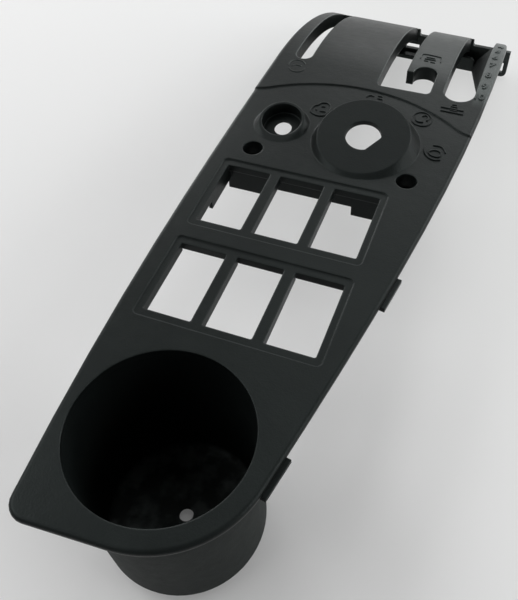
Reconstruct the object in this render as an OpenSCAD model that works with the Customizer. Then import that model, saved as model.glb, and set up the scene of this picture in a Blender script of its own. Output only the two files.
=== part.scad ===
// Dashboard panel of a riding mower: one moulding with a cup well, six switch
// openings, a key well, a slanted switch boss and a rolled, slotted far end.
// The origin is midway between the two fixing screws, on the seats under their
// heads. X runs across the panel, Y runs from the cup towards the rolled end and
// Z points up. Modules are drawn from the panel's top face, which is then lifted.

/* [Panel] */
// Thickness of the moulded wall
wall = 2.4; // [2:0.1:3]
// Rounding along the top edge of the panel
edge_round = 1.6; // [0.8:0.1:2]
// Depth of the lip under the panel's edge, below the wall
lip_h = 1.5; // [1:0.1:3]
// Thickness of the lip
lip_t = 1.6; // [1.2:0.1:2.4]
// Distance of the left edge from the middle line at the cup end
left_near = 49.3; // [47:0.1:51]
// Distance of the left edge from the middle line at the far end
left_far = 47.6; // [47:0.1:51]
// Outward bow of the left edge
left_bow = 5.4; // [2:0.1:6]
// Distance of the right edge from the middle line at the far end
right_far = 58.5; // [57:0.1:61]
// Outward bow of the right edge
right_bow = 10.2; // [9:0.1:12]
// Lean of the left edge's bow towards the cup end
left_lean = 0.9; // [0:0.1:2]
// Lean of the right edge's bow towards the far end
right_lean = 0.5; // [0:0.1:1]
// Radius of the cup end's left corner
near_corner_r = 7.6; // [4:0.1:9]
// Radius of the far corners
far_corner_r = 3; // [2:0.1:5]

/* [Cup well] */
// Distance from the screws back to the cup's axis
cup_back = 148.2; // [146:0.1:152]
// Distance of the cup's axis to the left of the middle line
cup_left = 12.6; // [10:0.1:15]
// Radius of the cup's mouth
cup_r = 34.2; // [32:0.1:36]
// Width of the panel around the cup's mouth
cup_margin = 8; // [6:0.1:10]
// Depth of the cup inside
cup_depth = 73; // [60:0.5:90]
// Thickness of the cup's wall and floor
cup_wall = 1.9; // [1.4:0.1:2.6]
// Draft of the cup's wall, as a loss of radius from mouth to floor
cup_draft = 2; // [1:0.1:3]
// Inside radius between the cup's wall and its floor
cup_floor_round = 4; // [3:0.5:9]
// Radius of the drain hole
drain_r = 3.1; // [2:0.1:5]
// Number of grip nubs around the cup's wall
nubs = 5; // [3:1:8]
// Radius of a grip nub
nub_r = 1.1; // [0.8:0.1:1.6]
// Depth of the nubs below the panel
nub_depth = 14.2; // [8:0.1:20]
// Direction of the first nub from the cup's axis, in degrees
nub_turn = 57; // [30:1:72]

/* [Switch openings] */
// Width of a switch opening
switch_w = 20.8; // [20:0.1:22]
// Length of a switch opening
switch_l = 36.4; // [34:0.1:38]
// Corner radius of a switch opening
switch_corner_r = 0.8; // [0.5:0.1:1.5]
// Spacing of the openings across the panel
switch_pitch = 25.4; // [25:0.1:26]
// Spacing of the two rows
row_pitch = 51.1; // [50:0.1:53]
// Distance from the screws back to the middle of the far row
row_back = 31.8; // [31:0.1:34]
// Distance of the middle column to the left of the middle line
column_left = 7.3; // [6:0.1:8]
// Depth of the shallow recess around each row
recess_depth = 0.6; // [0.4:0.1:1.2]
// Width of the recess outside the row's ends
recess_side = 3; // [2:0.1:3.6]
// Width of the recess beyond and before the row
recess_end = 3.6; // [2:0.1:4.5]
// Corner radius of the recess
recess_corner_r = 2.4; // [1:0.1:3]
// Thickness of the frame ribs under the openings
frame_t = 1.6; // [1.2:0.1:2]
// Depth of the ribs along the openings' long sides, below the panel's top
bar_rib = 5.2; // [4:0.1:7]
// Depth of the ribs along the openings' short sides, below the panel's top
end_rib = 4.2; // [3.4:0.1:5]

/* [Cross rib] */
// Depth of the cross rib behind the far row, below the panel's top
cross_rib = 11; // [8:0.1:13]
// Depth of the cross rib's two ends
cross_rib_end = 16.2; // [13.5:0.1:18]
// Gap between the far row and the cross rib
cross_gap = 1.6; // [0.8:0.1:3]
// Length of the deep part at the rib's right end
cross_end_l = 13.2; // [8:0.1:16]
// Depth of the side rib along the left opening
side_rib = 9.6; // [7:0.1:12]
// Length of the side rib, back from the cross rib
side_rib_l = 22; // [18:0.5:30]

/* [Key well] */
// Distance of the key well to the left of the middle line
key_left = 29.5; // [28:0.1:31]
// Distance of the key well beyond the screws
key_out = 20.5; // [20:0.1:24]
// Radius of the well's bore
key_r = 9.6; // [8:0.1:10]
// Height of the middle of the slanted mouth above the panel
key_h = 2.8; // [2.6:0.1:5]
// Wall of the collar at its mouth
key_collar_t = 1.3; // [1:0.1:2]
// Width of the collar's flare at its foot
key_flare = 2.5; // [2:0.1:4]
// Depth of the well's floor below its mouth
key_depth = 6.4; // [5:0.1:9]
// Thickness of the well's floor
key_floor = 1; // [0.8:0.1:2.4]
// Radius of the hole in the well's floor
key_hole_r = 4.2; // [3:0.1:6]

/* [Slanted boss] */
// Distance of the boss to the right of the middle line
boss_right = 11.3; // [10:0.1:13]
// Distance of the boss beyond the screws
boss_out = 17.6; // [16:0.1:20]
// Radius of the slanted face
boss_r = 21.3; // [19:0.1:23]
// Height of the middle of the face above the panel
boss_h = 5.5; // [5:0.1:8]
// Slant of the boss's face and of the key well's mouth, the far side high
slant = 11.5; // [8:0.25:14]
// Width of the flare at the boss's foot
boss_flare = 3.9; // [2:0.1:5]
// Shift of the boss's foot to the right of its face
boss_shift = 0.8; // [0:0.1:1.5]
// Shift of the boss's foot beyond its face's middle
boss_foot_out = 1.8; // [0:0.1:2.5]
// Radius of the hole in the face
boss_hole_r = 8.2; // [7:0.1:10]
// Distance of the hole's flat from its centre
boss_flat = 6.6; // [5:0.1:6.8]
// Direction of the hole's flat
boss_flat_dir = -32; // [-60:1:0]
// Rounding where the flat meets the hole's arc
boss_flat_round = 1.5; // [0.5:0.1:2]

/* [Fixing screws] */
// Distance between the two screws
screw_span = 72.8; // [70:0.1:76]
// Radius of the well over a screw
screw_well_r = 4.7; // [4:0.1:5.5]
// Depth of the screw's seat below the panel's top
screw_seat = 9; // [6:0.5:12]
// Thickness of the seat
screw_seat_t = 2.2; // [1.6:0.1:3]
// Wall around the screw well
screw_wall = 1.8; // [1.4:0.1:2.4]
// Radius of the screw hole
screw_hole_r = 2.6; // [2:0.1:3]

/* [Rolled end] */
// Distance from the screws to the start of the roll
roll_start = 70; // [66:0.5:74]
// Radius of the roll
roll_r = 164; // [150:1:180]
// Distance from the screws to the outer face of the rear wall
rear_out = 166; // [160:0.5:170]
// Turn of the roll and the rear wall against the panel, in degrees
roll_skew = 2.6; // [0:0.1:4]
// Depth of the rear wall's bottom edge below the panel's top
rear_depth = 46.6; // [42:0.1:52]
// Depth of the flange along the rear wall's bottom edge
rear_flange = 5.6; // [3:0.1:8]
// Height by which the far part stands above the rest of the panel
step_h = 0.6; // [0.3:0.1:1]
// Distance from the screws to the ends of the step line
step_out = 40.6; // [38:0.1:43]
// Rise of the step line's arch
step_rise = 17.4; // [14:0.1:20]
// Radius of the arch
arch_r = 84; // [70:1:95]
// Radius of the fillets at the arch's feet
arch_foot_r = 16; // [8:0.5:20]

/* [Slots] */
// Depth of the flange around the slots
flange = 6.8; // [5:0.1:9]
// Thickness of the flange
flange_t = 1.7; // [1.4:0.1:2.4]
// Distance of the left slot to the left of the middle line
left_slot_x = 37.6; // [36.5:0.1:39]
// Width of the left slot
left_slot_w = 8.9; // [7:0.1:10]
// Distance from the screws to the near end of the left slot
left_slot_y = 73; // [71:0.5:78]
// Left edge of the middle slot, to the right of the middle line
mid_slot_x = 5.2; // [4:0.1:6]
// Width of the middle slot over the roll
mid_slot_w = 11.5; // [10:0.1:13]
// Width of the middle slot at its near end
mid_slot_near_w = 26.6; // [25:0.1:28]
// Distance from the screws to the near end of the middle slot
mid_slot_y = 62.4; // [60:0.1:66]
// Length of the wide near part, up to the hook
mid_near_l = 16.2; // [14:0.1:18]
// Radius of the middle slot's near corners
mid_corner_r = 2.6; // [1:0.1:4]
// Width of the hook beside the notch
hook_w = 3.5; // [3:0.1:5]
// Distance from the screws to the crown of the notch
notch_end = 85.4; // [82:0.1:88]
// Left edge of the right slot, to the right of the middle line
right_slot_x = 37.8; // [36:0.1:39]
// Width of the right slot
right_slot_w = 15; // [13:0.1:16]
// Distance from the screws to the near end of the right slot
right_slot_y = 61; // [59:0.1:66]
// Depth of the notches that the middle and right slots cut into the rear wall
wall_notch = 2.2; // [1:0.1:3]
// Width of the full-height corner left beside each of those notches
wall_corner_w = 1.4; // [0.8:0.1:7]

/* [Rear wall] */
// Distance of the window's left side to the left of the middle line
window_left = 1.2; // [0:0.1:3]
// Width of the window in the rear wall
window_w = 8.4; // [6:0.1:10]
// Height of the window
window_h = 3.6; // [3:0.1:5]
// Depth of the window's top below the panel's top
window_top = 39.2; // [36:0.1:40]
// Reach of the ear beyond the panel's right edge
ear_reach = 2.8; // [2:0.1:5]
// Height of the ear
ear_h = 16.4; // [14:0.1:18]
// Reach of the ear below the rear wall's bottom edge
ear_drop = 3.2; // [1:0.1:4]
// Width of the opening in the ear
ear_hole_w = 3.8; // [3:0.1:5]
// Height of the opening in the ear
ear_hole_h = 6.8; // [5:0.1:9]
// Distance of the upstand's right side from the middle line
upstand_right = 42.4; // [40:0.1:44]
// Width of the upstand on the rear flange, seen through the right slot
upstand_w = 12; // [9:0.1:14]
// Height of the upstand above the rear wall's bottom edge
upstand_h = 8.6; // [6:0.1:9]
// Lean of the gusset's foot to the left at the rear wall
gusset_lean = 10.8; // [0:0.1:12]

/* [Edge tongues] */
// Length of a tongue along the edge
tongue_l = 16.6; // [12:0.1:20]
// Reach of a tongue beyond the edge
tongue_reach = 1.7; // [1:0.1:3]
// Thickness of a tongue
tongue_t = 2; // [1.2:0.1:2.6]
// Distances from the screws back to the middles of the tongues
tongue_back = [60.4, 149];

/* [Hidden] */
$fn = 96;
tiny = 0.01;
over = 1;
tall = 120;
wide = 200;
edge_steps = 4;
arc_steps = 22;
bow_steps = 12;
corner_steps = 6;
roll_steps = 30;
cup_c = [-cup_left, -cup_back];
key_c = [-key_left, key_out];
boss_c = [boss_right, boss_out];
near_r = cup_r + cup_margin;
near_slope = 3;
right_slope = 9.5;
near_left = [-left_near + near_corner_r,
             cup_c[1] - near_r * cos(near_slope) - (cup_c[0] + left_near) * sin(near_slope) + near_corner_r];
roll_drop = roll_r - sqrt(pow(roll_r, 2) - pow(rear_out - roll_start, 2));
rear_in = rear_out - wall;
rear_left = rear_across(-left_far);
rear_right = rear_across(right_far);
far_left = turned([rear_left + far_corner_r, rear_out - far_corner_r]);
far_right = turned([rear_right - far_corner_r, rear_out - far_corner_r]);
row_y = [-row_back, -row_back - row_pitch];
column_x = [for (i = [-1:1]) -column_left + i * switch_pitch];
row_w = 2 * switch_pitch + switch_w;
cross_y = -row_back + switch_l / 2 + cross_gap;
strip_x = right_slot_x + right_slot_w;
hook_x = mid_slot_x + mid_slot_w;
notch_x = hook_x + hook_w;
notch_r = (mid_slot_x + mid_slot_near_w - notch_x) / 2;
boss_cut = boss_h + boss_r * sin(slant) + wall;
cup_floor = cup_depth + cup_wall;
nub_sink = nub_r / 2;
tongue_z = -wall - lip_h / 5 - tongue_t;

// A point of the roll's axes in those of the panel
function turned(p) = [p[0] * cos(roll_skew) + p[1] * sin(roll_skew),
                      p[1] * cos(roll_skew) - p[0] * sin(roll_skew)];

// Distance across the panel at the rear wall, in the roll's axes
function rear_across(x) = (x - rear_out * sin(roll_skew)) / cos(roll_skew);

// Points on an arc about c, from one angle to another
function arc_pts(c, r, a0, a1, n) =
    [for (i = [0:n]) let (a = a0 + (a1 - a0) * i / n) c + r * [cos(a), sin(a)]];

// Height of a bow of height s that leans towards its end by k, at a share t of the way
function bow(s, k, t) = s * 4 * t * (1 - t) * (1 + k * (t - 1 / 2));

// A point on the curve from p to q that bows s to the right of the way
function bow_at(p, q, s, k, t) = p + (q - p) * t + [(q - p)[1], -(q - p)[0]] / norm(q - p) * bow(s, k, t);

near_pts = arc_pts(cup_c, near_r, near_slope - 90, -right_slope, arc_steps);
far_right_pts = arc_pts(far_right, far_corner_r, 0, 90 - roll_skew, corner_steps);
far_left_pts = arc_pts(far_left, far_corner_r, 90 - roll_skew, 180, corner_steps);
near_left_pts = arc_pts(near_left, near_corner_r, 180, 270 + near_slope, corner_steps);
right_start = near_pts[arc_steps];
left_end = near_left_pts[0];
right_pts = [for (i = [1:bow_steps - 1]) right_at(i / bow_steps)];
left_pts = [for (i = [1:bow_steps - 1])
    bow_at(far_left_pts[corner_steps], left_end, left_bow, left_lean, i / bow_steps)];
outline_pts = concat(near_pts, right_pts, far_right_pts, far_left_pts, left_pts, near_left_pts);

// A point on the right edge at a share of its length, or at a distance y
function right_at(t) = bow_at(right_start, far_right_pts[0], right_bow, right_lean, t);
function edge_at(y) = right_at((y - right_start[1]) / (far_right_pts[0][1] - right_start[1]));

// Direction of the right edge at a distance y
function edge_turn(y) = let (d = edge_at(y + over) - edge_at(y - over)) atan2(d[1], d[0]) - 90;

// Plan of the panel, pulled in by an inset
module outline(inset = 0) {
    offset(delta = -inset) polygon(outline_pts);
}

// Turns its children from the panel's axes to those of the roll
module skewed() {
    rotate([0, 0, -roll_skew]) children();
}

// Side view of everything under the top face, lowered by an amount
module profile_2d(lower, back = 0) {
    r = roll_r - lower;
    sweep = asin((rear_out - back - roll_start) / r);
    arc = [for (i = [0:roll_steps]) [roll_start + r * sin(sweep * i / roll_steps),
                                     r * cos(sweep * i / roll_steps) - roll_r]];
    polygon(concat([[-2 * wide, -tall], [-2 * wide, -lower]], arc, [[rear_out - back, -tall]]));
}

// The side view carried across the panel
module profile(lower, back = 0) {
    skewed() translate([-wide, 0, 0]) rotate([90, 0, 90])
        linear_extrude(2 * wide) profile_2d(lower, back);
}

// Block under the top face with its upper edge rounded, raised by an amount
module block(raise = 0) {
    hull() for (i = [0:edge_steps]) {
        a = 90 * i / edge_steps;
        intersection() {
            translate([0, 0, -tall]) linear_extrude(tall + over) outline(edge_round * (1 - sin(a)));
            profile(edge_round * (1 - cos(a)) - raise, edge_round * (1 - sin(a)));
        }
    }
}

// Plan of the part that lies before the step line: straight feet and an arch
module near_part_2d() {
    foot_y = step_out + arch_foot_r;
    arch_y = step_out + step_rise - arch_r;
    foot_x = sqrt(pow(arch_r + arch_foot_r, 2) - pow(foot_y - arch_y, 2));
    turn = atan2(foot_x, foot_y - arch_y);
    polygon(concat(
        [[-wide, -2 * wide], [-wide, step_out]],
        arc_pts([-foot_x, foot_y], arch_foot_r, -90, turn - 90, corner_steps),
        arc_pts([0, arch_y], arch_r, 90 + turn, 90 - turn, arc_steps),
        arc_pts([foot_x, foot_y], arch_foot_r, 270 - turn, 270, corner_steps),
        [[wide, step_out], [wide, -2 * wide]]));
}

// The wall of the panel: flat part, raised far part, roll and rear wall
module shell() {
    difference() {
        union() {
            block();
            intersection() {
                block(step_h);
                difference() {
                    translate([-wide, 0, -tall]) cube([2 * wide, 2 * wide, tall + 2 * over]);
                    translate([0, 0, -tall - over]) skewed() linear_extrude(tall + 4 * over) near_part_2d();
                }
            }
        }
        profile(wall, wall);
        translate([-wide, -2 * wide, -tall - over]) cube([2 * wide, 4 * wide, tall + over - rear_depth]);
    }
}

// Rounded rectangle about its middle
module rounded(w, l, r) {
    square([w - 2 * r, l], center = true);
    square([w, l - 2 * r], center = true);
    for (x = [-1, 1], y = [-1, 1]) translate([x * (w / 2 - r), y * (l / 2 - r)]) circle(r);
}

// Body of the cup and the hollow inside it
module cup_body(r, depth, round_r) {
    rotate_extrude() {
        polygon([[0, 0], [r, 0], [r - cup_draft * (depth - round_r) / cup_depth, round_r - depth],
                 [r - cup_draft * (depth - round_r) / cup_depth - round_r, -depth], [0, -depth]]);
        translate([r - cup_draft * (depth - round_r) / cup_depth - round_r, round_r - depth]) intersection() {
            circle(round_r);
            translate([0, -round_r]) square(round_r);
        }
    }
}

// Frames under the switch openings and the cross rib behind them
module switch_ribs() {
    bar_x = (switch_w + frame_t) / 2;
    end_y = (switch_l + frame_t) / 2;
    for (y = row_y, s = [-1, 1]) {
        for (x = column_x)
            translate([x + s * bar_x, y, -(bar_rib + recess_depth) / 2])
                cube([frame_t, switch_l, bar_rib - recess_depth], center = true);
        translate([-column_left, y + s * end_y, -(end_rib + recess_depth) / 2])
            cube([row_w + 2 * frame_t, frame_t, end_rib - recess_depth], center = true);
    }
    left = column_x[0] - switch_w / 2;
    right = column_x[2] + switch_w / 2;
    translate([left - frame_t, cross_y, -cross_rib])
        cube([right - left + 2 * frame_t, frame_t, cross_rib - wall / 2]);
    translate([left - frame_t, cross_y, -cross_rib_end])
        cube([switch_w + frame_t, frame_t, cross_rib_end - wall / 2]);
    translate([right - cross_end_l, cross_y, -cross_rib_end])
        cube([cross_end_l + frame_t, frame_t, cross_rib_end - wall / 2]);
    translate([left - frame_t, cross_y - side_rib_l, -side_rib])
        cube([frame_t, side_rib_l + frame_t, side_rib - wall / 2]);
}

// Carries its children to a centre on the panel and slants them
module slanted(c, h) {
    translate([c[0], c[1], h]) rotate([slant, 0, 0]) children();
}

// A slanted round face of radius r on a flared foot, which may be shifted
module slanted_foot(c, h, r, flare, shift = [0, 0]) {
    hull() {
        translate([c[0] + shift[0], c[1] + shift[1], -wall / 2]) cylinder(wall / 2, r = r + flare, $fn = 72);
        slanted(c, h) translate([0, 0, -tiny]) cylinder(tiny, r = r, $fn = 72);
    }
}

// Collar of the key well and the cup under it
module key_body() {
    slanted_foot(key_c, key_h, key_r + key_collar_t, key_flare);
    slanted(key_c, key_h) translate([0, 0, -key_depth - key_floor])
        cylinder(key_depth, r = key_r + key_collar_t);
}

// Bore of the key well and the hole in its floor
module key_bore() {
    slanted(key_c, key_h) {
        translate([0, 0, -key_depth]) cylinder(2 * key_depth, r = key_r);
        translate([0, 0, -2 * key_depth]) cylinder(2 * key_depth, r = key_hole_r);
    }
}

// Hollow under the slanted boss
module boss_hollow() {
    slanted(boss_c, boss_h) translate([0, 0, -wall - boss_cut]) cylinder(boss_cut, r = boss_r - wall);
}

// Round hole with one flat, square to the slanted face
module boss_hole() {
    slanted(boss_c, boss_h) translate([0, 0, -boss_cut]) linear_extrude(2 * boss_cut)
        offset(r = boss_flat_round) offset(delta = -boss_flat_round) difference() {
            circle(boss_hole_r);
            rotate(boss_flat_dir) translate([boss_flat, -boss_hole_r]) square(2 * boss_hole_r);
        }
}

// Plan of the left slot
module left_slot_2d(grow = 0) {
    r = left_slot_w / 2;
    translate([-left_slot_x, left_slot_y + r]) circle(r + grow);
    translate([-left_slot_x - r - grow, left_slot_y + r])
        square([left_slot_w + 2 * grow, wide]);
}

// Plan of the middle slot with its hook and notch
module mid_slot_2d(grow = 0) {
    r = mid_corner_r;
    translate([mid_slot_x - grow, mid_slot_y + r]) square([mid_slot_w + 2 * grow, wide]);
    translate([mid_slot_x - grow, mid_slot_y + r])
        square([mid_slot_near_w + 2 * grow, mid_near_l - r + grow]);
    translate([mid_slot_x + r, mid_slot_y - grow])
        square([mid_slot_near_w - 2 * r, mid_near_l + 2 * grow]);
    for (x = [r, mid_slot_near_w - r])
        translate([mid_slot_x + x, mid_slot_y + r]) circle(r + grow);
    translate([notch_x - grow, mid_slot_y + r])
        square([2 * (notch_r + grow), notch_end - notch_r - mid_slot_y - r]);
    translate([notch_x + notch_r, notch_end - notch_r]) circle(notch_r + grow);
}

// Plan of the right slot
module right_slot_2d(grow = 0) {
    r = right_slot_w / 2;
    translate([right_slot_x + r, right_slot_y + r]) circle(r + grow);
    translate([right_slot_x - grow, right_slot_y + r]) square([right_slot_w + 2 * grow, wide]);
}

// Plan of all slots, grown by an amount
module slots_2d(grow = 0) {
    left_slot_2d(grow);
    mid_slot_2d(grow);
    right_slot_2d(grow);
}

// Flanges that hang from the edges of the slots and follow the roll
module slot_flanges() {
    difference() {
        intersection() {
            profile(wall / 2, wall);
            translate([0, 0, -tall]) linear_extrude(tall + over) slots_2d(flange_t);
        }
        profile(flange, -over);
    }
}

// The slots, cut through the roof and its flanges up to the rear wall
module slot_cuts() {
    difference() {
        intersection() {
            translate([0, 0, -tall]) linear_extrude(tall + 2 * over) slots_2d();
            skewed() translate([-wide, 0, -tall]) cube([2 * wide, rear_in, 2 * tall]);
        }
        profile(flange + over, -over);
    }
}

// A notch in the rear wall's top beside a corner left at the slot's left
module notch(x, w) {
    r = wall_notch / 2;
    skewed() translate([rear_across(x + wall_corner_w), rear_in - over, -roll_drop - wall_notch]) {
        translate([r, 0, 0]) cube([w - wall_corner_w - r, wall + 2 * over, tall]);
        translate([0, 0, r]) cube([w - wall_corner_w, wall + 2 * over, tall]);
        translate([r, wall + 2 * over, r]) rotate([90, 0, 0]) cylinder(wall + 2 * over, r = r);
    }
}

// Upright plate in the roll's axes with its lower or upper corners rounded
module plate(x, w, z, h, t, r, low = true) {
    translate([x, 0, z]) rotate([90, 0, 0]) linear_extrude(t) {
        translate([0, low ? r : 0]) square([w, h - r]);
        translate([r, 0]) square([w - 2 * r, h]);
        for (c = [r, w - r]) translate([c, low ? r : h - r]) circle(r);
    }
}

// Flange along the rear wall's bottom edge with its upstand, and the ear
module rear_parts() {
    ear_w = ear_hole_w + 2 * wall + ear_reach;
    skewed() {
        translate([rear_left + wall, rear_in - rear_flange, -rear_depth])
            cube([rear_right - rear_left - 2 * wall, rear_flange + wall / 2, wall]);
        translate([0, rear_in - rear_flange + flange_t, 0])
            plate(rear_across(upstand_right) - upstand_w, upstand_w, -rear_depth, upstand_h,
                  flange_t, far_corner_r, low = false);
        translate([0, rear_out, 0])
            plate(rear_right + ear_reach - ear_w, ear_w, -rear_depth - ear_drop, ear_h, wall, far_corner_r);
    }
}

// Leaning gusset from the right slot's near end to the rear wall's foot
module gusset() {
    near_y = right_slot_y + right_slot_w;
    inset = flange_t / 8;
    steps = 4;
    hull() {
        for (i = [0:steps]) {
            y = near_y + (rear_in - near_y) * i / steps;
            z = roll_r - sqrt(pow(roll_r, 2) - pow(y - roll_start, 2)) + wall;
            translate([strip_x + inset, y - over, -z - flange_t])
                cube([flange_t - 2 * inset, over, flange_t + wall / 2]);
        }
        skewed() translate([rear_across(strip_x - gusset_lean), rear_in - rear_flange - inset,
                            inset - rear_depth])
            cube([flange_t, rear_flange + wall / 2, wall]);
    }
}

// Windows in the rear wall and in the ear
module rear_holes() {
    skewed() {
        translate([rear_across(-window_left), rear_in - over, -window_top - window_h])
            cube([window_w, wall + 2 * over, window_h]);
        translate([rear_right + ear_reach - wall - ear_hole_w, rear_in - over,
                   wall - rear_depth - ear_drop])
            cube([ear_hole_w, wall + 2 * over, ear_hole_h]);
    }
}

// Lip under the panel's edge, kept off the roll and the rear wall
module lip() {
    difference() {
        translate([0, 0, -wall - lip_h]) linear_extrude(lip_h + wall / 2) difference() {
            outline(edge_round / 2);
            outline(edge_round / 2 + lip_t);
        }
        skewed() translate([-wide, roll_start, -tall]) cube([2 * wide, wide, tall]);
    }
}

// Tongues that stand out from the lip on the right side
module tongues() {
    root = lip_t + edge_round / 2;
    for (b = tongue_back)
        translate([edge_at(-b)[0], edge_at(-b)[1], tongue_z]) rotate([0, 0, edge_turn(-b)])
            translate([-root, -tongue_l / 2, 0]) cube([root + tongue_reach, tongue_l, tongue_t]);
}

// One moulded panel
module dash_panel() color([0.13, 0.14, 0.145]) translate([0, 0, screw_seat]) {
    difference() {
        union() {
            shell();
            lip();
            tongues();
            translate([cup_c[0], cup_c[1], 0])
                cup_body(cup_r + cup_wall, cup_floor, cup_floor_round + cup_wall);
            switch_ribs();
            key_body();
            slanted_foot(boss_c, boss_h, boss_r, boss_flare, [boss_shift, boss_foot_out]);
            for (s = [-1, 1])
                translate([s * screw_span / 2, 0, -screw_seat - screw_seat_t])
                    cylinder(screw_seat + screw_seat_t - wall / 2, r = screw_well_r + screw_wall);
            slot_flanges();
            rear_parts();
        }
        translate([cup_c[0], cup_c[1], tiny]) cup_body(cup_r, cup_depth + tiny, cup_floor_round);
        translate([cup_c[0], cup_c[1], -cup_floor - over]) cylinder(cup_wall + 2 * over, r = drain_r);
        for (y = row_y) {
            translate([-column_left, y, -recess_depth]) linear_extrude(recess_depth + over)
                rounded(row_w + 2 * recess_side, switch_l + 2 * recess_end, recess_corner_r);
            for (x = column_x)
                translate([x, y, -tall]) linear_extrude(tall + over)
                    rounded(switch_w, switch_l, switch_corner_r);
        }
        key_bore();
        boss_hollow();
        boss_hole();
        for (s = [-1, 1]) translate([s * screw_span / 2, 0, 0]) {
            translate([0, 0, -screw_seat]) cylinder(screw_seat + over, r = screw_well_r);
            translate([0, 0, -screw_seat - screw_seat_t - over]) cylinder(screw_seat, r = screw_hole_r);
        }
        slot_cuts();
        notch(mid_slot_x, mid_slot_w);
        notch(right_slot_x, right_slot_w);
        rear_holes();
    }
    gusset();
    for (i = [0:nubs - 1])
        translate([cup_c[0], cup_c[1], -nub_depth]) rotate([0, 0, nub_turn + 360 * i / nubs])
            translate([cup_r - cup_draft * nub_depth / cup_depth + nub_sink, 0, 0]) sphere(nub_r, $fn = 24);
}

dash_panel();
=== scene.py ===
import bmesh
import bpy
import numpy as np
from mathutils import Matrix, Vector


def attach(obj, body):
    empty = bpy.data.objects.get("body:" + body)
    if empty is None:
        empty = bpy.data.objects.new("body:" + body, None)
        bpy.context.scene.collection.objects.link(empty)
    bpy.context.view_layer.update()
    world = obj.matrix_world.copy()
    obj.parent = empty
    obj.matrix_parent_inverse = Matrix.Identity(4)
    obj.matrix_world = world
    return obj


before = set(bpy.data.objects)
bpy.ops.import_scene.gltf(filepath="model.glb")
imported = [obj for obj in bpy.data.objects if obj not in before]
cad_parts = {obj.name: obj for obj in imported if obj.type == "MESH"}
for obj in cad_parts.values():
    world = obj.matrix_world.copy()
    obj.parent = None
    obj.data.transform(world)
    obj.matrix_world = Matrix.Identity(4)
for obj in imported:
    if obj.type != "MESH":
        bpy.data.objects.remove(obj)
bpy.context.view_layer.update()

mm = 0.001
print("frame loaded:", sorted(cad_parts))


# A shader socket that is added, subtracted and multiplied like a number
class Tone:
    def __init__(self, finish, socket):
        self.finish, self.socket = finish, socket

    def maths(self, operation, first, second):
        return self.finish.add("ShaderNodeMath", {"operation": operation}, {0: first, 1: second})

    def __add__(self, other): return self.maths("ADD", self, other)
    def __radd__(self, other): return self.maths("ADD", other, self)
    def __sub__(self, other): return self.maths("SUBTRACT", self, other)
    def __rsub__(self, other): return self.maths("SUBTRACT", other, self)
    def __mul__(self, other): return self.maths("MULTIPLY", self, other)
    def __rmul__(self, other): return self.maths("MULTIPLY", other, self)


# One procedural material or world, and the one method that adds any node to it
class Finish:
    def __init__(self, name, world=False):
        self.material = (bpy.data.worlds if world else bpy.data.materials).new(name)
        self.ending = "ShaderNodeOutputWorld" if world else "ShaderNodeOutputMaterial"
        self.material.use_nodes = True
        self.tree = self.material.node_tree
        self.tree.nodes.clear()

    def add(self, kind, settings, inputs, output=0):
        node = self.tree.nodes.new(kind)
        for name, value in settings.items():  # settings come before the sockets
            setattr(node, name, value)
        for name, value in inputs.items():
            if isinstance(value, Tone):
                self.tree.links.new(value.socket, node.inputs[name])
            else:
                node.inputs[name].default_value = value
        return Tone(self, node.outputs[output]) if node.outputs else None

    def place(self):
        return self.add("ShaderNodeTexCoord", {}, {}, "Object")

    def noise(self, scale, detail):
        return self.add("ShaderNodeTexNoise", {},
                        {"Vector": self.place(), "Scale": scale, "Detail": detail}, "Fac")

    def parts(self, vector):
        node = self.add("ShaderNodeSeparateXYZ", {}, {"Vector": vector}).socket.node
        return [Tone(self, output) for output in node.outputs]

    def step(self, value, low, high, start=0.0, end=1.0):  # a smooth step from start to end
        return self.add("ShaderNodeMapRange", {"interpolation_type": "SMOOTHSTEP"},
                        {"Value": value, "From Min": low, "From Max": high,
                         "To Min": start, "To Max": end}, "Result")

    def mix(self, share, first, second):
        return self.add("ShaderNodeMix", {"data_type": "RGBA"}, {0: share, 6: first, 7: second}, 2)

    def mixShaders(self, share, first, second):
        return self.add("ShaderNodeMixShader", {}, {0: share, 1: first, 2: second})

    def maximum(self, first, second):
        return first.maths("MAXIMUM", first, second)

    def seenOnly(self):  # 1 for the camera and for what the gloss and clear things show
        rays = [self.add("ShaderNodeLightPath", {}, {}, ray)
                for ray in ("Is Camera Ray", "Is Glossy Ray", "Is Transmission Ray")]
        return self.maximum(rays[0], self.maximum(rays[1], rays[2]))

    def close(self, shader):
        self.add(self.ending, {}, {"Surface": shader})
        return self.material


# In the looks below a pair is where a mask is none and where it is full. Two more numbers
# are its least and its greatest share. Colours are linear, and lengths are in metres.
wearAndHighlightLook = {  # edges rubbed lighter, partly wear and partly painted highlight, most of all at the far end, where the pale colour is painted highlight
    "colour": (0.034, 0.039, 0.038, 1), "farHighlightColour": (0.120, 0.134, 0.130, 1),
    "far": (58 * mm, 68 * mm),      # along the panel
    "outer": (6.6 * mm, 7.4 * mm),  # height, so that the wells stay dark, without wear or painted highlight
    "turn": (0.98, 0.80),           # cosine between the rounded and the flat normal
    "patches": (0.3, 0.7, 0.35, 0.8),
    # rims at the far end that lean to the right, lit with a painted highlight
    "rimLean": (0.06, 0.30), "rimUp": (0.3, 0.5), "rimFar": (62 * mm, 70 * mm),
    "rimHighlightShare": 0.85,
}
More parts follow.
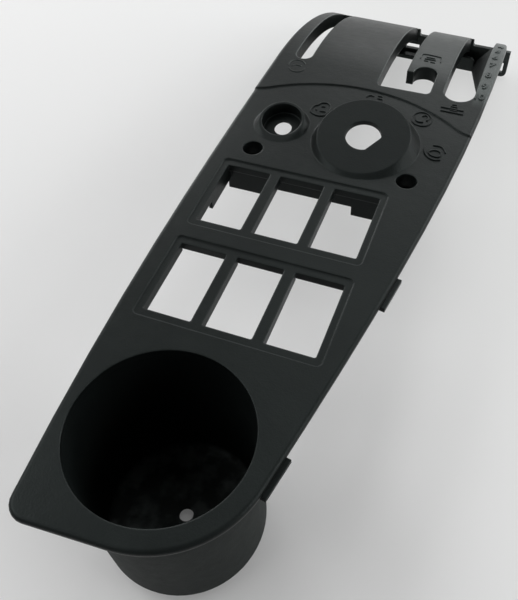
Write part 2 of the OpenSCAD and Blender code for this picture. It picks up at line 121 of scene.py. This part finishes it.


# Edges lighter where the rounded normal leaves the flat one, in patches: partly wear and partly
# painted highlight, which is strongest at the far end. At the far end the rims that lean to the
# right get a painted highlight all along. Gives the colour and the share of worn and highlit edge.
def wearAndHighlightEdges(finish, colour, look):
    far = finish.step(finish.y, *look["far"])
    outer = finish.maximum(far, finish.step(finish.z, *look["outer"]))
    turn = finish.add("ShaderNodeVectorMath", {"operation": "DOT_PRODUCT"},
                      {0: finish.rounded, 1: finish.flat}, "Value")
    wornAndHighlit = finish.step(turn, *look["turn"]) * finish.step(finish.clouds, *look["patches"]) * outer
    colour = finish.mix(wornAndHighlit, colour, finish.mix(far, look["colour"], look["farHighlightColour"]))
    leanX, _, leanZ = finish.parts(finish.rounded)
    # painted highlight along the far rims that lean to the right
    rim = finish.step(leanX, *look["rimLean"]) * finish.step(leanZ, *look["rimUp"]) \
        * finish.step(finish.y, *look["rimFar"])
    return finish.mix(rim * look["rimHighlightShare"], colour, look["farHighlightColour"]), wornAndHighlit


paintedSheenLook = {  # the bridge between two slots and the number strip, paler with a painted sheen where they catch the light
    "colour": (0.060, 0.069, 0.067, 1),
    "bridgeLeft": (16 * mm, 18 * mm), "bridgeRight": (38 * mm, 36 * mm),
    "bridgeFar": (74 * mm, 90 * mm), "bridgeUp": (0.3, 0.5), "bridgeShare": 0.3,
    "stripLeft": (51.8 * mm, 53.4 * mm), "stripFar": (58 * mm, 70 * mm),
    "stripPatches": (0.3, 0.7, 0.6, 1.0),
}


# The bridge's painted sheen is a box of soft steps on its upper side only
def paintBridgeSheen(finish, colour, look):
    left, right = [finish.step(finish.x, *look[side]) for side in ("bridgeLeft", "bridgeRight")]
    bridge = left * right * finish.step(finish.y, *look["bridgeFar"]) \
        * finish.step(finish.outZ, *look["bridgeUp"])
    return finish.mix(bridge * look["bridgeShare"], colour, look["colour"])


# The strip's painted sheen is a corner of soft steps, in patches
def paintStripSheen(finish, colour, look):
    strip = finish.step(finish.x, *look["stripLeft"]) * finish.step(finish.y, *look["stripFar"])
    patches = finish.step(finish.clouds, *look["stripPatches"])
    return finish.mix(strip * patches, colour, look["colour"])


rearLook = {  # painted bounce light on the rear wall's inner side, and the gusset's dull left side
    # the wall's paler colour is painted bounce light
    "dust": (0.052, 0.060, 0.057, 1), "wallTurn": (-0.5, -0.8), "wallFar": (145 * mm, 155 * mm),
    "gussetTurn": (-0.3, -0.6), "gussetLeft": (38 * mm, 42 * mm),
    "gussetFar": (68 * mm, 76 * mm), "gussetDull": 0.4,
}


# Painted bounce light on faces far along the panel that turn back to the cup
def paintRearWallLight(finish, colour, look):
    wall = finish.step(finish.outY, *look["wallTurn"]) * finish.step(finish.y, *look["wallFar"])
    return finish.mix(wall, colour, look["dust"])


# Faces at the far right that turn to the left
def gussetSide(finish, look):
    right = finish.step(finish.x, *look["gussetLeft"]) * finish.step(finish.y, *look["gussetFar"])
    return right * finish.step(finish.outX, *look["gussetTurn"])


bossLook = {  # the slanted boss's flat face
    "place": (11.3 * mm, 17.6 * mm), "rim": (21.6 * mm, 20.8 * mm), "above": (9.2 * mm, 10 * mm),
    "darkShare": 0.6, "dull": 0.12,
}


# A disc, by the square of the distance from the boss's middle, above the panel's face
def bossFace(finish, look):
    aside, ahead = finish.x - look["place"][0], finish.y - look["place"][1]
    rim = [radius ** 2 for radius in look["rim"]]
    return finish.step(aside * aside + ahead * ahead, *rim) * finish.step(finish.z, *look["above"])


cupLook = {
    "place": (-12.6 * mm, -148.2 * mm),
    "near": (-100 * mm, -106 * mm), "below": (7.4 * mm, 5 * mm),
    "inside": (6 * mm, 0.0),  # distance from the axis times the outward turn
    "dull": 0.26,
    "outer": (0.0105, 0.0128, 0.0118, 1), "outerShare": 0.8,
    "dust": (0.115, 0.130, 0.126, 1), "dustClouds": (120.0, 6.0),
    "dustPatches": (0.40, 0.68, 0.25, 1.0), "floor": (-59.5 * mm, -63.5 * mm), "dustShare": 0.7,
}


# The cup is what lies near and below the face. On its inner side the normal points to the axis.
# Gives the colour, the cup's share and its inner side's share.
def dressCup(finish, colour, look):
    cup = finish.step(finish.y, *look["near"]) * finish.step(finish.z, *look["below"])
    aside, ahead = finish.x - look["place"][0], finish.y - look["place"][1]
    outwards = finish.outX * aside + finish.outY * ahead
    inside = cup * finish.step(outwards, *look["inside"])
    colour = finish.mix((cup - inside) * look["outerShare"], colour, look["outer"])
    dust = finish.step(finish.noise(*look["dustClouds"]), *look["dustPatches"]) \
        * finish.step(finish.z, *look["floor"])
    return finish.mix(dust * inside * look["dustShare"], colour, look["dust"]), cup, inside


panelLook = {  # the moulding's grained skin
    "dark": (0.0036, 0.0046, 0.0045, 1), "light": (0.0054, 0.0068, 0.0066, 1),
    "clouds": (38.0, 4.0),        # soft clouds in the moulding: scale per metre and detail
    "grain": (1500.0, 2.0),       # fine spark-eroded grain
    "flow": (210.0, 3.0),         # slight waviness of the skin
    "middle": 0.5,                # a noise's mean
    "cloudShare": 0.7, "grainShare": 0.3, "mottle": (0.36, 0.64),
    "edgeRadius": 0.95 * mm, "edgeSamples": 6,
    "grainBump": (0.16, 0.4 * mm), "flowBump": (0.10, 0.8 * mm),  # strength and height
    "roughness": 0.36, "grainRough": 0.12, "flowRough": 0.14, "wornAndHighlitRough": -0.1,
    "gloss": 0.12, "cupGloss": 0.03,  # specular level, and the same inside the cup
    "tint": (0.88, 1.0, 0.98, 1),
}


# Clouds and grain give the base colour, the zones are laid over it one after another, and
# grain and flow are bumps on edges that a bevelled normal rounds
def makePanelFinish(name, look):
    finish = Finish(name)
    finish.x, finish.y, finish.z = finish.parts(finish.place())
    finish.rounded = finish.add("ShaderNodeBevel", {"samples": look["edgeSamples"]},
                                {"Radius": look["edgeRadius"]}, "Normal")
    finish.flat = finish.add("ShaderNodeNewGeometry", {}, {}, "Normal")
    finish.outX, finish.outY, finish.outZ = finish.parts(finish.flat)
    finish.clouds = finish.noise(*look["clouds"])
    grain, flow = finish.noise(*look["grain"]), finish.noise(*look["flow"])

    mottle = finish.clouds * look["cloudShare"] + grain * look["grainShare"]
    colour = finish.mix(finish.step(mottle, *look["mottle"]), look["dark"], look["light"])
    colour, wornAndHighlit = wearAndHighlightEdges(finish, colour, wearAndHighlightLook)
    colour = paintBridgeSheen(finish, colour, paintedSheenLook)
    colour = paintRearWallLight(finish, colour, rearLook)
    boss = bossFace(finish, bossLook)
    colour = finish.mix(boss * bossLook["darkShare"], colour, look["dark"])
    colour, cup, inside = dressCup(finish, colour, cupLook)
    colour = paintStripSheen(finish, colour, paintedSheenLook)

    roughness = look["roughness"] + (flow - look["middle"]) * look["flowRough"] \
        + (grain - look["middle"]) * look["grainRough"] + wornAndHighlit * look["wornAndHighlitRough"] \
        + cup * cupLook["dull"] + boss * bossLook["dull"] \
        + gussetSide(finish, rearLook) * rearLook["gussetDull"]
    skin = finish.rounded
    for height, bump in ((grain, look["grainBump"]), (flow, look["flowBump"])):
        skin = finish.add("ShaderNodeBump", {}, {"Strength": bump[0], "Distance": bump[1],
                                                 "Height": height, "Normal": skin})
    shaders = [finish.add("ShaderNodeBsdfPrincipled", {}, {
        "Base Color": colour, "Roughness": roughness, "Normal": skin,
        "Specular IOR Level": look[gloss], "Specular Tint": look["tint"]})
        for gloss in ("gloss", "cupGloss")]
    return finish.close(finish.mixShaders(inside, *shaders))


markLook = {**panelLook, "roughness": 0.46, "edgeRadius": 0.15 * mm}  # finer edges, duller
panelFinish = makePanelFinish("grainedPanel", panelLook)
markFinish = makePanelFinish("dullMark", markLook)
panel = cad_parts["dash_panel"]
for slot in panel.material_slots:
    slot.material = panelFinish
print("panel finish assigned")


faceShape = {  # in mm and degrees
    "top": 9.0,                             # the flat face over the screw seats
    "skew": 2.6,                            # turn of the far end against the panel
    "rollStart": 70.0, "rollRadius": 164.0,
    "step": 0.6, "stepLine": 40.6,          # height of the step, and its least distance
    "archCentre": -26.0, "archRadius": 84.0,
}


# Height of the panel's outer face in mm: flat, then an arc of a circle past the roll's
# start, and one step higher beyond the arched step line
def faceHeight(x, y):
    shape, skew = faceShape, np.radians(faceShape["skew"])
    along = x * np.sin(skew) + y * np.cos(skew)
    across = x * np.cos(skew) - y * np.sin(skew)
    rolled = np.clip(along - shape["rollStart"], 0, None)
    fall = shape["rollRadius"] - np.sqrt(shape["rollRadius"] ** 2 - rolled ** 2)
    arch = shape["archCentre"] + np.sqrt(np.clip(shape["archRadius"] ** 2 - across ** 2, 0, None))
    return shape["top"] + shape["step"] * (along > np.maximum(arch, shape["stepLine"])) - fall


def addObject(name, data):
    thing = bpy.data.objects.new(name, data)
    bpy.context.scene.collection.objects.link(thing)
    return thing


def addPiece(name, vertices, faces, finish, smooth=True):
    mesh = bpy.data.meshes.new(name)
    mesh.from_pydata(vertices.tolist(), [], faces)
    mesh.validate()
    mesh.polygons.foreach_set("use_smooth", [smooth] * len(mesh.polygons))
    mesh.materials.append(finish)
    return addObject(name, mesh)


beadShape = {
    "sunk": 0.25,       # depth of the bead's foot under the face, mm
    "across": 9,        # points across
    "roundness": 0.6,   # power of the sine, so that lower is squarer
    "endSteps": 5, "endLeast": 0.004,  # sections of an open end, and its least size squared
}


# A low round-topped bead along a path on the face, in mm. Each section is half a rounded
# arch, as wide as the cosine and as high as a power of the sine, and at an open end it
# shrinks along a quarter circle. The bead's points are counted from the number first.
def ridge(path, closed, width, height, shape, first):
    path, across = np.asarray(path, float), shape["across"]
    if closed:
        tangent = np.roll(path, -1, 0) - np.roll(path, 1, 0)
        size = np.ones(len(path))
    else:
        run = np.r_[0, np.cumsum(np.hypot(*np.diff(path, axis=0).T))]
        ends = np.sin(np.linspace(0, np.pi / 2, shape["endSteps"])) * width / 2
        stations = np.unique(np.r_[width / 2 - ends[::-1], run[1:-1], run[-1] - width / 2 + ends])
        path = np.c_[np.interp(stations, run, path[:, 0]), np.interp(stations, run, path[:, 1])]
        tangent = np.gradient(path, axis=0)
        inner = np.clip(np.minimum(stations, run[-1] - stations) / (width / 2), 0, 1)
        size = np.sqrt(np.clip(1 - (1 - inner) ** 2, shape["endLeast"], 1))
    tangent /= np.linalg.norm(tangent, axis=1)[:, None]
    side = np.c_[-tangent[:, 1], tangent[:, 0]]
    angle = np.linspace(0, np.pi, across)
    out = np.cos(angle) * width / 2
    up = height * np.sin(angle) ** shape["roundness"]
    up[[0, -1]] = -shape["sunk"]
    flatPlace = path[:, None] + side[:, None] * (size[:, None] * out)[..., None]
    x, y = flatPlace[..., 0], flatPlace[..., 1]
    z = faceHeight(x, y) + np.where(up > 0, up * size[:, None], up)
    points = np.stack([x, y, z], -1).reshape(-1, 3) * mm
    count = len(path)
    corners = first + np.arange(count * across).reshape(count, across)
    here = corners if closed else corners[:-1]
    ahead = np.roll(corners, -1, 0)[:len(here)]
    quads = np.stack([here, np.roll(here, -1, 1), np.roll(ahead, -1, 1), ahead], -1)
    caps = [] if closed else [corners[0, ::-1].tolist(), corners[-1].tolist()]
    return points, quads.reshape(-1, 4).tolist() + caps


# A smooth way through a few points: each stretch is the cubic whose slope at a point is
# half the step between its two neighbours
def curved(points, closed=False, steps=5):
    points = np.asarray(points, float)
    if closed:
        around = [np.roll(points, shift, 0) for shift in (1, 0, -1, -2)]
    else:
        ends = np.concatenate([2 * points[:1] - points[1:2], points,
                               2 * points[-1:] - points[-2:-1]])
        around = [ends[:-3], ends[1:-2], ends[2:-1], ends[3:]]
    before, start, end, after = [part[:, None] for part in around]
    t = (np.arange(steps) / steps)[None, :, None]
    bend = 2 * before - 5 * start + 4 * end - after
    twist = 3 * (start - end) + after - before
    way = (start + t / 2 * (end - before + t * (bend + t * twist))).reshape(-1, 2)
    return way if closed else np.concatenate([way, points[-1:]])


markShapes = {  # raised marks: ways in mm on the face, whether closed, width and height
    "markHood": [
        (curved([(-18.4, 32.6), (-19.8, 34.7), (-19.2, 37.9), (-17.4, 39.5), (-16.2, 41.4),
                 (-13.4, 41.8), (-11.6, 40.2), (-10.6, 37.5), (-11.2, 34.8), (-12.3, 32.4),
                 (-15.0, 31.5)], True), True, 0.9, 0.5),
        ([(-15.4, 34.9), (-12.4, 35.3)], False, 0.8, 0.45),
        ([(-17.4, 36.2), (-17.1, 35.0)], False, 1.1, 0.45),
        ([(-15.6, 38.6), (-13.6, 38.9)], False, 0.8, 0.45)],
    "markPair": [
        (curved([(3.1, 52.2), (3.9, 53.6), (5.3, 54.2), (6.7, 53.6)]), False, 0.9, 0.45),
        ([(8.1, 54.7), (10.6, 54.6)], False, 0.9, 0.45),
        ([(8.4, 52.8), (11.2, 52.5)], False, 0.9, 0.45)],
    "markRound": [
        (curved([(28.3, 42.4), (29.6, 40.0), (32.2, 38.8), (35.1, 39.1), (37.0, 41.1), (37.3, 44.5),
                 (35.6, 47.3), (33.3, 48.7), (30.9, 48.5), (29.1, 47.1), (28.2, 44.9)], True),
         True, 0.8, 0.45),
        (curved([(29.6, 44.8), (30.2, 42.6), (31.4, 41.4), (34.0, 41.6)]), False, 1.0, 0.55),
        (curved([(32.4, 45.6), (33.6, 46.8), (34.9, 46.4), (35.6, 44.6), (35.0, 42.8)]),
         False, 1.0, 0.5)],
    "markOpen": [
        (curved([(38.8, 24.6), (38.9, 22.6), (39.5, 20.8), (41.0, 18.8), (43.1, 17.5), (45.2, 17.2),
                 (47.4, 18.2)]), False, 0.95, 0.55),
        (curved([(41.1, 22.0), (41.8, 20.5), (43.3, 19.6), (45.5, 19.5), (46.7, 20.6), (46.6, 22.4),
                 (45.4, 23.5), (43.2, 23.6)], True), True, 0.8, 0.5),
        (curved([(42.0, 26.8), (44.3, 27.1), (46.2, 26.6), (47.4, 25.2), (48.6, 23.0)]),
         False, 0.85, 0.5)],
    "markOval": [
        (curved([(-42.5, 65.1), (-42.4, 68.8), (-40.1, 70.9), (-36.7, 70.7), (-34.3, 68.6)]),
         False, 0.9, 0.22),
        (curved([(-41.6, 63.4), (-39.1, 61.3), (-35.9, 61.3), (-33.9, 62.9), (-33.5, 65.4)]),
         False, 0.9, 0.22),
        (curved([(-40.6, 65.2), (-38.6, 66.8), (-35.6, 66.5)]), False, 1.1, 0.22)],
    "markBracket": [
        (curved([(20.2, 93.0), (20.0, 95.6), (20.2, 98.2), (22.8, 98.8), (25.4, 98.7), (28.1, 98.4),
                 (30.3, 97.7), (30.7, 94.9), (30.8, 92.2)]), False, 0.65, 0.45),
        ([(22.8, 95.6), (27.6, 95.4)], False, 0.75, 0.45),
        ([(22.2, 93.6), (28.2, 93.5)], False, 0.75, 0.45),
        ([(22.4, 91.5), (24.8, 91.2)], False, 0.75, 0.4),
        ([(25.6, 91.1), (28.4, 90.8)], False, 0.75, 0.4)],
    "markBars": [
        ([(39.0, 54.9), (50.3, 54.6)], False, 1.2, 0.45),
        ([(39.4, 52.2), (50.6, 52.0)], False, 1.2, 0.45),
        ([(43.4, 56.5), (46.9, 56.3)], False, 0.9, 0.4),
        ([(43.8, 58.0), (46.4, 57.9)], False, 0.8, 0.4),
        ([(43.6, 53.5), (47.4, 53.4)], False, 0.9, 0.4)],
}
marks = []
for name, beads in markShapes.items():
    points, faces = np.zeros((0, 3)), []
    for bead in beads:
        beadPoints, beadFaces = ridge(*bead, beadShape, len(points))
        points = np.concatenate([points, beadPoints])
        faces += beadFaces
    marks.append(addPiece(name, points, faces, markFinish))
print("raised marks made:", len(marks))


scaleNumbers = {  # in mm
    "values": ["10", "9", "8", "7", "6", "5", "4"],
    "x": [54.7, 55.8, 55.8, 55.9, 55.9, 56.1, 56.5],
    "y": [67.4, 76.7, 87.8, 99.6, 110.4, 121.4, 132.7],
    "size": 6.4, "spacing": 0.86, "bolder": 0.10, "outlineSteps": 4,
    "height": 0.5, "sunk": 0.25,
    "joinGap": 0.001,  # fronts, backs and sides meet within this
}


# A plain number: its flat outline gets a thickness, and every point is set down on the face
def makeNumber(text, x, y, look):
    name = "number_" + text
    curve = bpy.data.curves.new(name, "FONT")
    curve.body, curve.size, curve.extrude = text, look["size"], look["height"]
    curve.align_x, curve.align_y, curve.resolution_u = "CENTER", "CENTER", look["outlineSteps"]
    curve.offset, curve.space_character = look["bolder"], look["spacing"]
    holder = addObject(name + "Curve", curve)
    bpy.context.view_layer.update()
    graph = bpy.context.evaluated_depsgraph_get()
    mesh = bpy.data.meshes.new_from_object(holder.evaluated_get(graph))
    bpy.data.objects.remove(holder)
    joined = bmesh.new()
    joined.from_mesh(mesh)
    bmesh.ops.remove_doubles(joined, verts=joined.verts, dist=look["joinGap"])
    bmesh.ops.recalc_face_normals(joined, faces=joined.faces)
    joined.to_mesh(mesh)
    joined.free()
    place = np.zeros(len(mesh.vertices) * 3)
    mesh.vertices.foreach_get("co", place)
    place = place.reshape(-1, 3)
    up = np.where(place[:, 2] > 0, look["height"], -look["sunk"])
    place[:, 0] += x
    place[:, 1] += y
    place[:, 2] = faceHeight(place[:, 0], place[:, 1]) + up
    mesh.vertices.foreach_set("co", (place * mm).ravel())
    mesh.update()
    mesh.name = name
    mesh.materials.clear()
    mesh.materials.append(markFinish)
    return addObject(name, mesh)


numbers = [makeNumber(text, x, y, scaleNumbers)
           for text, x, y in zip(scaleNumbers["values"], scaleNumbers["x"], scaleNumbers["y"])]
for piece in marks + numbers:
    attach(piece, "root")
print("numbers made:", len(numbers))


floorLook = {
    "touches": [(-19.0, -124.3, -65.9), (-46.0, 168.2, -37.6), (57.0, 163.6, -40.8)],  # mm
    "gap": 0.1, "half": 2500.0,               # mm under the panel, and half the width
    "colours": ((0.76, 0.765, 0.765, 1), (0.78, 0.78, 0.78, 1)),
    "clouds": (1.7, 2.0), "cloudStep": (0.3, 0.7),
    # paler paper towards the right: painted light that thins the panel's shadows there
    "rightPaintedLight": (0.90, 0.90, 0.90, 1), "right": (-0.05, 0.40),
    "roughness": 0.8, "gloss": 0.2,
    "seen": (0.78, 0.785, 0.78, 1),           # even paleness that the camera and the gloss see
    "seenTurn": 0.6,                          # metres to the right that equal one ahead
    "seenStep": (-0.03, 0.12, 0.1, 0.7),      # from the near left to the far right
    "seenAround": (0.2, 1.2, 0.0, 0.85),      # by the square of the distance
}


# A pale plane through the three places where the panel stands. The height follows from the
# plane's normal, and a share of its paleness is even and seen only.
def makeFloor(look):
    first, second, third = [np.array(place) for place in look["touches"]]
    normal = np.cross(second - first, third - first)
    normal /= normal[2]
    corners = np.array([(-1, -1), (1, -1), (1, 1), (-1, 1)]) * look["half"]
    height = first[2] - look["gap"] - (corners - first[:2]) @ normal[:2]
    finish = Finish("paleFloor")
    aside, ahead, _ = finish.parts(finish.place())
    cloud = finish.step(finish.noise(*look["clouds"]), *look["cloudStep"])
    colour = finish.mix(cloud, *look["colours"])
    # painted light: the paper grows paler towards the right
    colour = finish.mix(finish.step(aside, *look["right"]), colour, look["rightPaintedLight"])
    paper = finish.add("ShaderNodeBsdfPrincipled", {}, {
        "Base Color": colour, "Roughness": look["roughness"], "Specular IOR Level": look["gloss"]})
    even = finish.add("ShaderNodeEmission", {}, {"Color": look["seen"], "Strength": 1.0})
    share = finish.maximum(
        finish.step(aside + look["seenTurn"] * ahead, *look["seenStep"]),
        finish.step(aside * aside + ahead * ahead, *look["seenAround"]))
    paleFloor = finish.close(finish.mixShaders(finish.seenOnly() * share, paper, even))
    floor = addPiece("floor", np.c_[corners, height] * mm, [[0, 1, 2, 3]], paleFloor, False)


makeFloor(floorLook)

lampSet = {  # degrees round from the far side to the right, degrees up, strength in watts
    "farLamp": (0, 25, 6.1),
    "highLamp": (0, 65, 5.3),
    "leftLamp": (-90, 45, 11.5),
    "farLeftLamp": (-45, 20, 11.5),
    "nearLamp": (-135, 45, 5.0),
    "rightLamp": (90, 20, 12.0),
    "farRightLamp": (45, 24, 13.0),
}
lampLook = {"distance": 1.7, "size": 0.9}  # metres
for name, (around, above, power) in lampSet.items():
    lamp = bpy.data.lights.new(name, "AREA")
    lamp.size, lamp.energy = lampLook["size"], power
    holder = addObject(name, lamp)
    around, above = np.radians(around), np.radians(above)
    way = (np.cos(above) * np.sin(around), np.cos(above) * np.cos(around), np.sin(above))
    holder.location = lampLook["distance"] * Vector(way)
    holder.rotation_euler = (-holder.location).to_track_quat("-Z", "Y").to_euler()
    holder.visible_camera = False

roomLook = {  # strength as a light, and as seen behind and in the gloss
    "colour": (1.0, 1.0, 1.0, 1), "light": 0.03, "seen": 0.5,
}
room = Finish("paleRoom", world=True)
walls = [room.add("ShaderNodeBackground", {}, {"Color": roomLook["colour"], "Strength": strength})
         for strength in (roomLook["light"], roomLook["seen"])]
bpy.context.scene.world = room.close(room.mixShaders(room.seenOnly(), *walls))
print("floor, lamps and room made")

cameraLook = {
    "location": (0.07466, -0.24410, 0.23510),
    "turn": (2.4494216794, 0.4383134418, -0.2227497209),  # axis, as long as the angle
    "lens": 44.239, "sensor": 36.0, "clip": 0.01,
}
cameraData = bpy.data.cameras.new("camera")
cameraData.lens, cameraData.sensor_width = cameraLook["lens"], cameraLook["sensor"]
cameraData.clip_start = cameraLook["clip"]
camera = addObject("camera", cameraData)
spin = Vector(cameraLook["turn"])
towards = Matrix.Rotation(spin.length, 3, spin.normalized()).transposed()
camera.matrix_world = Matrix.Translation(cameraLook["location"]) @ \
    (towards @ Matrix.Diagonal((1, -1, -1))).to_4x4()
bpy.context.scene.camera = camera
bpy.context.scene.view_settings.view_transform = "Standard"
print("camera placed")
